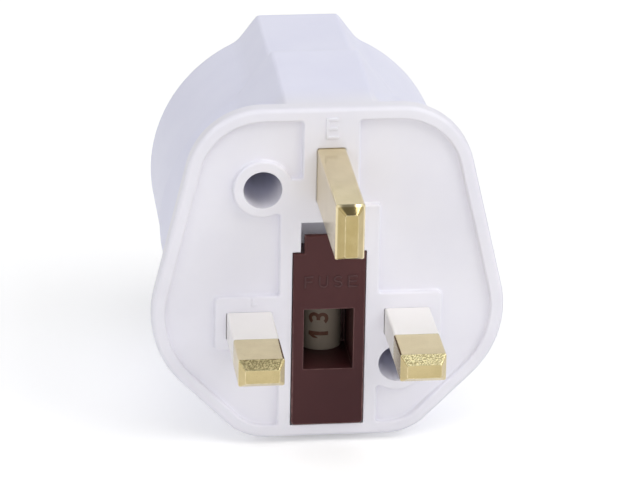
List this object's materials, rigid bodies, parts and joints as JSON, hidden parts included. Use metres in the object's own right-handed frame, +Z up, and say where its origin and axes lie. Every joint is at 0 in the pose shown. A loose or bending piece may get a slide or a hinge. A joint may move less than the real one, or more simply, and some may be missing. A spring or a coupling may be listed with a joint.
{
  "type": "travel adapter",
  "caption": "White travel plug adapter: fused three-pin plug face with sleeved flat pins and a pull-out fuse carrier, and a round recessed two-pin socket with earth clips behind it.",
  "frame": {"origin": "on the plug face, half way between the line pin and the neutral pin", "axes": "+X to the right as seen from the pins, +Y from the wall into the room along the socket's axis, +Z up towards the earth pin"},
  "size_m": [0.0496, 0.0662, 0.0513],
  "materials": {
    "white_plastic": "smooth moulded, faintly satin",
    "sleeve_plastic": "smooth moulded",
    "maroon_plastic": "smooth moulded",
    "brass": "pressed and barrelled",
    "fuse_ceramic": "unglazed",
    "cap_metal": "bright plated",
    "spring_steel": "bright",
    "screw_steel": "zinc plated"
  },
  "bodies": {
    "housing": {"front_housing": "white_plastic", "rear_housing": "white_plastic", "earth_pin": "brass", "line_pin": "brass", "neutral_pin": "brass", "line_pin_sleeve": "sleeve_plastic", "neutral_pin_sleeve": "sleeve_plastic", "fuse_clip_upper": "brass", "fuse_clip_lower": "brass", "neutral_link": "brass", "line_contact": "brass", "neutral_contact": "brass", "line_contact_spring": "spring_steel", "neutral_contact_spring": "spring_steel", "earth_strap": "brass", "housing_screws": "screw_steel"},
    "carrier": {"fuse_carrier": "maroon_plastic", "fuse_tube": "fuse_ceramic", "fuse_cap_upper": "cap_metal", "fuse_cap_lower": "cap_metal"}
  },
  "joints": [
    {"name": "carrier_pull", "type": "slide", "parent": "housing", "child": "carrier", "axis": [0, -1, 0], "range_m": [0, 0.014]}
  ]
}
